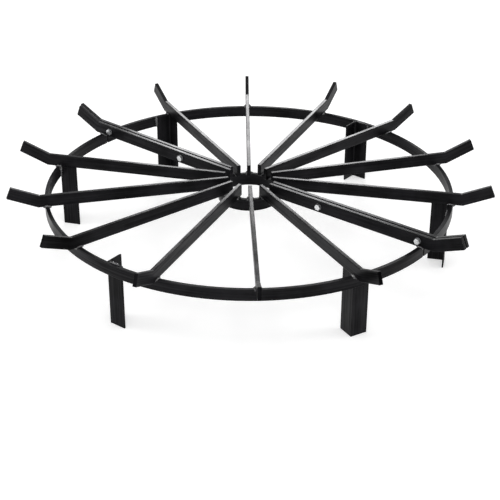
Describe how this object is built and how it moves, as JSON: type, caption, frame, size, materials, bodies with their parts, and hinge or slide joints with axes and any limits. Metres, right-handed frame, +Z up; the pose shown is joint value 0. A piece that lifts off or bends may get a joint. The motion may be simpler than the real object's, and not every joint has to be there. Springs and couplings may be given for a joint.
{
  "type": "log grate",
  "caption": "Round fire-pit log grate: flat bars on edge radiate across a rim and a hub ring, bend up at their ends and stand on angle-iron legs; two bolted halves.",
  "frame": {"origin": "on the ground, under the centre of the wheel", "axes": "+X along the bolted joint between the halves, +Y towards the back half, +Z up"},
  "size_m": [0.9217, 0.8857, 0.1674],
  "materials": {
    "bar_paint": "semi-gloss black paint",
    "ring_paint": "semi-gloss black paint",
    "leg_paint": "semi-gloss black paint",
    "zinc": "bright zinc plate"
  },
  "bodies": {
    "root": {"back_rim": "ring_paint", "front_rim": "ring_paint", "back_hub_ring": "ring_paint", "front_hub_ring": "ring_paint", "back_bar_1": "bar_paint", "back_bar_2": "bar_paint", "back_bar_3": "bar_paint", "back_bar_4": "bar_paint", "back_bar_5": "bar_paint", "back_bar_6": "bar_paint", "front_bar_1": "bar_paint", "front_bar_2": "bar_paint", "front_bar_3": "bar_paint", "front_bar_4": "bar_paint", "front_bar_5": "bar_paint", "front_bar_6": "bar_paint", "back_joint_bar_right": "bar_paint", "back_joint_bar_left": "bar_paint", "front_joint_bar_right": "bar_paint", "front_joint_bar_left": "bar_paint", "back_leg_1": "leg_paint", "back_leg_2": "leg_paint", "back_leg_3": "leg_paint", "front_leg_1": "leg_paint", "front_leg_2": "leg_paint", "front_leg_3": "leg_paint", "bolt_right_outer": "zinc", "bolt_right_inner": "zinc", "bolt_left_inner": "zinc", "bolt_left_outer": "zinc", "nut_right_outer": "zinc", "nut_right_inner": "zinc", "nut_left_inner": "zinc", "nut_left_outer": "zinc", "head_washers": "zinc", "nut_washers": "zinc"}
  },
  "joints": []
}
